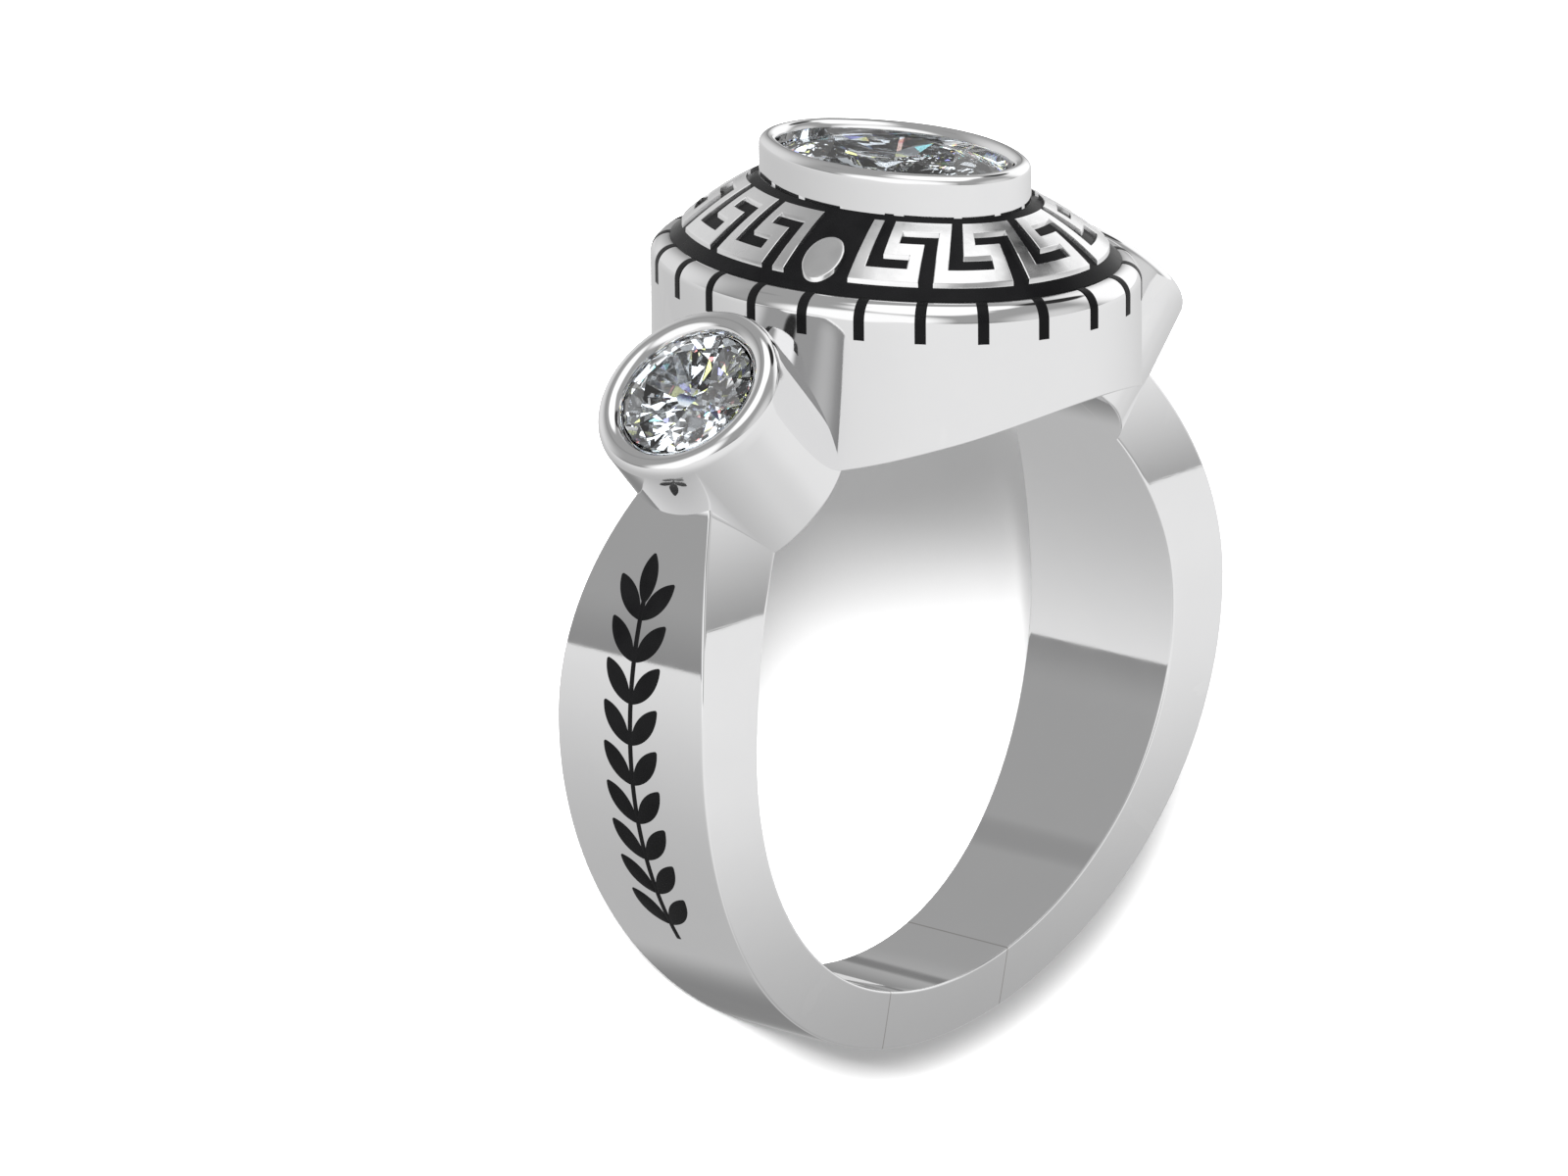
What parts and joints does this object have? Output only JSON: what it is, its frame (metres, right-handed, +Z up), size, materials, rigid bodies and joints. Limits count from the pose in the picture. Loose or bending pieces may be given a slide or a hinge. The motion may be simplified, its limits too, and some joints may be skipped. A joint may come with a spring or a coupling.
{
  "type": "class ring",
  "caption": "Polished silver class ring with an oval head: a clear oval stone in a bezel, a black enamel slope with a raised key pattern, notched shoulder, and round side stones.",
  "frame": {"origin": "centre of the ring's bounding box at the plane it rests on", "axes": "The ring lies on its side. +Y runs from the foot of the shank to the head, +X runs from the left side stone to the right one, and +Z is up, close to the axis of the finger hole, which leans back from +Z by the 16.7 degrees at which the ring rests"},
  "size_m": [0.0212, 0.0246, 0.014],
  "materials": {
    "polished_silver": "mirror polished",
    "clear_stone": "facetted and polished",
    "black_enamel": "gloss"
  },
  "bodies": {
    "root": {"ring_body": "polished_silver", "oval_stone": "clear_stone", "side_stone_left": "clear_stone", "side_stone_right": "clear_stone", "head_enamel": "black_enamel", "laurel_enamel_left": "black_enamel", "laurel_enamel_right": "black_enamel"}
  },
  "joints": []
}
